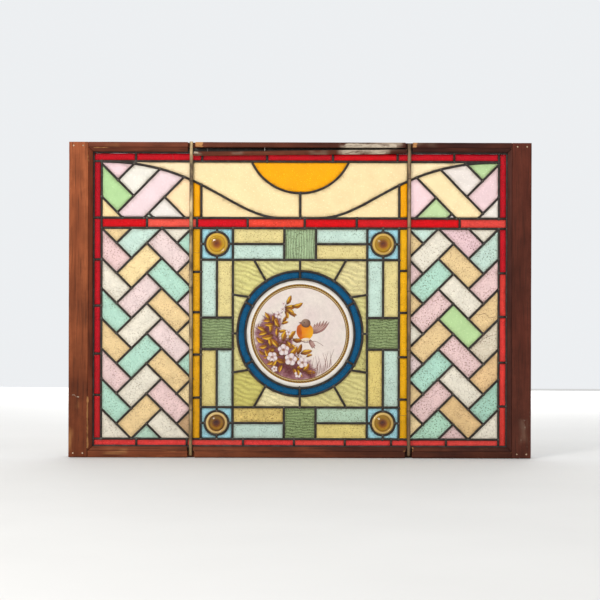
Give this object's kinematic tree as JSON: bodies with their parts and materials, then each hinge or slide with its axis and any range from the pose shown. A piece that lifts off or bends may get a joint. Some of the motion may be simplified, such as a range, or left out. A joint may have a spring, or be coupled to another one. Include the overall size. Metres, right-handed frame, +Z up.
{
  "type": "stained glass window",
  "caption": "Leaded stained glass window in a mahogany frame: painted roundel, jewelled corners, herringbone side fields, a sun in the upper band and iron saddle bars.",
  "frame": {"origin": "middle of the frame's bottom edge, halfway through its depth", "axes": "+X along the width, to the right seen from the front; -Y is the front; +Z up"},
  "size_m": [1.018, 0.04, 0.694],
  "materials": {
    "frame_wood": "old varnished mahogany, worn pale on the arrises",
    "bar_iron": "iron bar with a dull olive brown patina",
    "tie_copper": "tarnished copper wire with grey solder",
    "lead": null,
    "painted_glass": "opal white glass painted with fired enamel",
    "blue_glass": "deep blue cathedral glass",
    "amber_glass": "golden amber cathedral glass",
    "jewel_glass": "cast amber jewel, domed",
    "red_glass": "ruby and coral red glass",
    "cream_glass": "cream yellow glass",
    "white_glass": "off-white seedy glass",
    "pink_glass": "pale pink seedy glass",
    "peach_glass": "peach seedy glass",
    "aqua_glass": "pale aqua green seedy glass",
    "spandrel_glass": "light blue glass",
    "ground_glass": "yellow green wavy glass",
    "green_glass": "muted green rippled glass",
    "strip_glass": "pale yellow seedy glass"
  },
  "bodies": {
    "root": {"bead_bottom_left": "frame_wood", "bead_bottom_middle": "frame_wood", "bead_bottom_right": "frame_wood", "bead_left": "frame_wood", "bead_right": "frame_wood", "bead_top_left": "frame_wood", "bead_top_middle": "frame_wood", "bead_top_right": "frame_wood", "green_pane_bottom": "green_glass", "green_pane_left": "green_glass", "green_pane_right": "green_glass", "green_pane_top": "green_glass", "ground_pane_1": "ground_glass", "ground_pane_10": "ground_glass", "ground_pane_11": "ground_glass", "ground_pane_12": "ground_glass", "ground_pane_2": "ground_glass", "ground_pane_3": "ground_glass", "ground_pane_4": "ground_glass", "ground_pane_5": "ground_glass", "ground_pane_6": "ground_glass", "ground_pane_7": "ground_glass", "ground_pane_8": "ground_glass", "ground_pane_9": "ground_glass", "jewel_bottom_left": "jewel_glass", "jewel_bottom_right": "jewel_glass", "jewel_top_left": "jewel_glass", "jewel_top_right": "jewel_glass", "leaded_light": "lead", "rail_bottom": "frame_wood", "rail_top": "frame_wood", "ring_pane_1": "blue_glass", "ring_pane_2": "blue_glass", "ring_pane_3": "blue_glass", "ring_pane_4": "blue_glass", "ring_pane_5": "blue_glass", "ring_pane_6": "blue_glass", "roundel": "painted_glass", "saddle_bar_left": "bar_iron", "saddle_bar_right": "bar_iron", "stile_left": "frame_wood", "stile_right": "frame_wood", "strip_pane_1": "strip_glass", "strip_pane_10": "strip_glass", "strip_pane_11": "strip_glass", "strip_pane_12": "strip_glass", "strip_pane_13": "strip_glass", "strip_pane_14": "strip_glass", "strip_pane_15": "strip_glass", "strip_pane_16": "strip_glass", "strip_pane_2": "strip_glass", "strip_pane_3": "strip_glass", "strip_pane_4": "strip_glass", "strip_pane_5": "strip_glass", "strip_pane_6": "strip_glass", "strip_pane_7": "strip_glass", "strip_pane_8": "strip_glass", "strip_pane_9": "strip_glass", "sun_pane": "amber_glass"}
  },
  "joints": []
}
